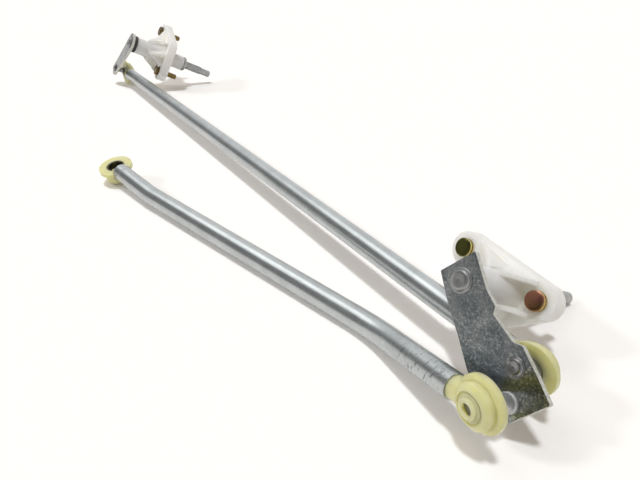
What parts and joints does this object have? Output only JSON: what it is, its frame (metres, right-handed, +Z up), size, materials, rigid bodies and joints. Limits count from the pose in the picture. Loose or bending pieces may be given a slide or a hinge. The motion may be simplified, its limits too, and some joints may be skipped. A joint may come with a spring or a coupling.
{
  "type": "windscreen wiper linkage",
  "caption": "Windscreen wiper linkage: moulded pivot housings with splined spindles and cranks, a straight rod between the cranks and a bent rod to the motor, on ball joints.",
  "frame": {"origin": "centre of the near housing's seat face, on the near spindle's axis", "axes": "+Z up from the bench the linkage lies on, +X along the bench from the near pivot to the far pivot, spindle tips towards -Y"},
  "size_m": [0.6497, 0.2429, 0.0705],
  "materials": {
    "white_nylon": "moulded satin",
    "yellow_zinc": "yellow passivated",
    "spindle_steel": "turned",
    "crank_steel": "stamped, zinc plated",
    "stud_steel": "polished",
    "dark_rubber": "matt",
    "clip_steel": "spring steel",
    "zinc_tube": "bright zinc plated",
    "socket_nylon": "natural nylon, slightly see-through"
  },
  "bodies": {
    "near_crank": {"near_spindle": "spindle_steel", "near_crank_plate": "crank_steel", "near_rear_stud": "stud_steel", "near_front_stud": "stud_steel", "near_thrust_ring": "dark_rubber", "near_clip_washer": "clip_steel", "near_clip": "clip_steel"},
    "near_housing": {"near_housing": "white_nylon", "near_bolts": "yellow_zinc"},
    "long_rod": {"long_tube": "zinc_tube", "long_near_socket": "socket_nylon", "long_far_socket": "socket_nylon"},
    "far_crank": {"far_spindle": "spindle_steel", "far_crank_lever": "crank_steel", "far_stud": "stud_steel", "far_thrust_ring": "dark_rubber", "far_clip_washer": "clip_steel", "far_clip": "clip_steel"},
    "far_housing": {"far_housing": "white_nylon", "far_bolts": "yellow_zinc"},
    "short_rod": {"short_tube": "zinc_tube", "short_near_socket": "socket_nylon", "short_motor_socket": "socket_nylon"}
  },
  "joints": [
    {"name": "near_spindle_turn", "type": "hinge", "parent": "near_crank", "child": "near_housing", "pos_m": [0, 0, 0], "axis": [0, -0.9135, -0.4067], "range_deg": [-50, 50]},
    {"name": "long_rod_swing", "type": "hinge", "parent": "near_crank", "child": "long_rod", "pos_m": [-0.04914, 0.03628, -0.00035], "axis": [0, -0.9135, -0.4067], "range_deg": [-100, 0]},
    {"name": "short_rod_swing", "type": "hinge", "parent": "near_crank", "child": "short_rod", "pos_m": [-0.05577, 0.07621, 0.00092], "axis": [0, -0.9135, -0.4067], "range_deg": [-70, 70]},
    {"name": "far_crank_swing", "type": "hinge", "parent": "long_rod", "child": "far_crank", "pos_m": [0.56544, 0.11719, -0.01222], "axis": [0, -0.8988, -0.4384], "range_deg": [-90, 12]},
    {"name": "far_spindle_turn", "type": "hinge", "parent": "far_crank", "child": "far_housing", "pos_m": [0.53344, 0.11349, 0.03073], "axis": [0, -0.8988, -0.4384], "range_deg": [-50, 50]}
  ]
}
